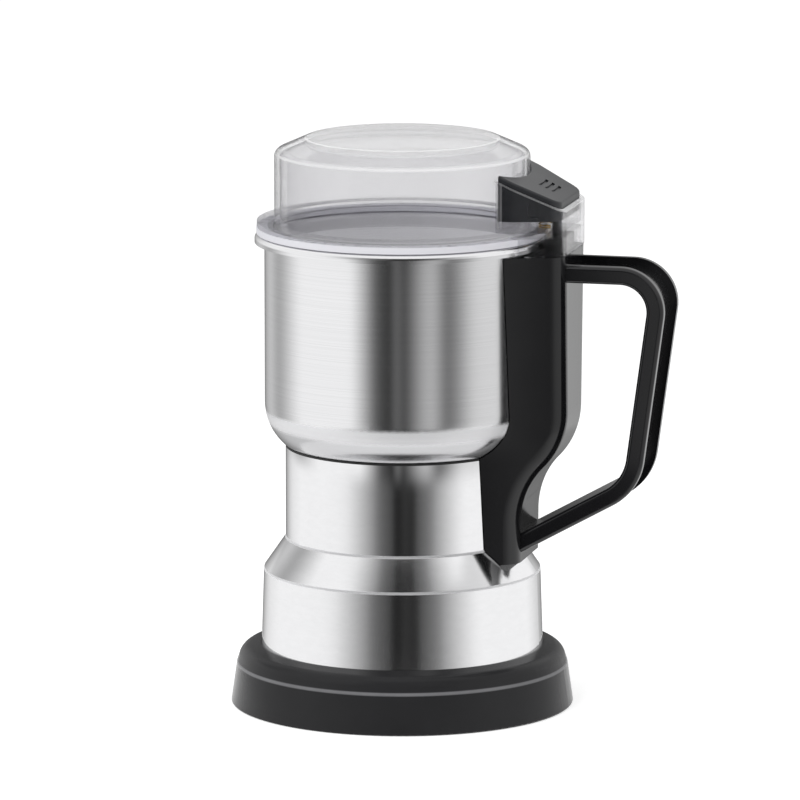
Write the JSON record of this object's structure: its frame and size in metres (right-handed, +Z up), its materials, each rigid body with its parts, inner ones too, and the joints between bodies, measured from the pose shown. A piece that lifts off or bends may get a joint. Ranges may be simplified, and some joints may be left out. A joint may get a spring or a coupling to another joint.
{
  "type": "electric grinder",
  "caption": "Kitchen grinder with flared base, polished motor shell, steel bowl, loop handle on a column, and a clear lid whose sprung button works the motor switch.",
  "frame": {"origin": "on the motor axis, in the plane that the base stands on", "axes": "+Z up along the motor axis, +X towards the handle, +Y to the rear where the cord enters"},
  "size_m": [0.1783, 0.1378, 0.2287],
  "materials": {
    "base_black": "semi-gloss charcoal black",
    "handle_black": "gloss black",
    "inner_black": "plain black moulding",
    "button_grey": "matt slate grey",
    "clear": "clear, polished",
    "silicone_white": "matt white",
    "rubber_black": "matt black",
    "polished_steel": "mirror polished",
    "brushed_steel": "brushed round the axis",
    "blade_steel": "ground",
    "screw_steel": "zinc plated",
    "spring_brass": "brass coloured wire",
    "spring_steel": "spring wire",
    "bracket_alloy": "die cast",
    "iron": "laminated iron",
    "copper": "enamelled copper",
    "carbon": "carbon",
    "lead_red": "insulated wire"
  },
  "bodies": {
    "base": {"base_skirt": "base_black", "bottom_cover": "inner_black", "rubber_feet": "rubber_black", "cover_screws": "screw_steel", "cord_gland": "rubber_black", "motor_shell": "polished_steel", "bowl_seat_ring": "rubber_black", "bowl": "brushed_steel", "bowl_screws": "screw_steel", "handle_front": "handle_black", "handle_rear": "handle_black", "cover_plate": "handle_black", "handle_screws": "screw_steel", "foot_screw": "screw_steel", "foot_nut": "screw_steel", "column_studs": "screw_steel", "stud_nuts": "screw_steel", "push_rod_spring": "spring_steel", "microswitch": "inner_black", "switch_terminals": "spring_brass", "switch_leads": "lead_red", "lead_grommets": "rubber_black", "lower_bracket": "bracket_alloy", "upper_bracket": "bracket_alloy", "lower_bearing": "screw_steel", "upper_bearing": "screw_steel", "shaft_seal": "rubber_black", "damper_washers": "rubber_black", "frame_screws": "screw_steel", "stator_core": "iron", "field_coils": "copper", "motor_bolts": "screw_steel", "motor_spacers": "screw_steel", "brush_holders": "spring_brass", "carbon_brushes": "carbon", "brush_springs": "spring_steel"},
    "lid": {"lid_shell": "clear", "lid_seal": "silicone_white", "button_springs": "spring_brass"},
    "button": {"button": "button_grey", "plunger": "inner_black"},
    "push_rod": {"push_rod": "inner_black"},
    "switch_lever": {"switch_lever": "spring_steel"},
    "rotor": {"motor_shaft": "screw_steel", "rotor_core": "iron", "rotor_windings": "copper", "commutator": "copper", "cooling_fan": "inner_black", "blade_collar": "screw_steel", "lower_blade": "blade_steel", "upper_blade": "blade_steel", "blade_nut": "blade_steel"}
  },
  "joints": [
    {"name": "lid_lift", "type": "slide", "parent": "base", "child": "lid", "axis": [0, 0, 1], "range_m": [0, 0.08]},
    {"name": "button_press", "type": "slide", "parent": "lid", "child": "button", "axis": [0, 0, -1], "range_m": [0, 0.003], "stiffness_N_per_m": 600, "springref_m": -0.004, "deforming": ["button_springs"]},
    {"name": "push_rod_slide", "type": "slide", "parent": "base", "child": "push_rod", "axis": [0, 0, -1], "range_m": [0, 0.003], "stiffness_N_per_m": 100, "springref_m": -0.004, "deforming": ["push_rod_spring"]},
    {"name": "lever_pivot", "type": "hinge", "parent": "base", "child": "switch_lever", "pos_m": [0.0619, -0.009, 0.13061], "axis": [-1, 0, 0], "range_deg": [0, 18.5]},
    {"name": "rotor_spin", "type": "hinge", "parent": "base", "child": "rotor", "pos_m": [0, 0, 0.0499], "axis": [0, 0, 1], "continuous": true}
  ],
  "couplings": [
    {"joint": "push_rod_slide", "follows": "button_press", "ratio": 1},
    {"joint": "lever_pivot", "follows": "button_press", "rad_per_m": 106.15}
  ]
}
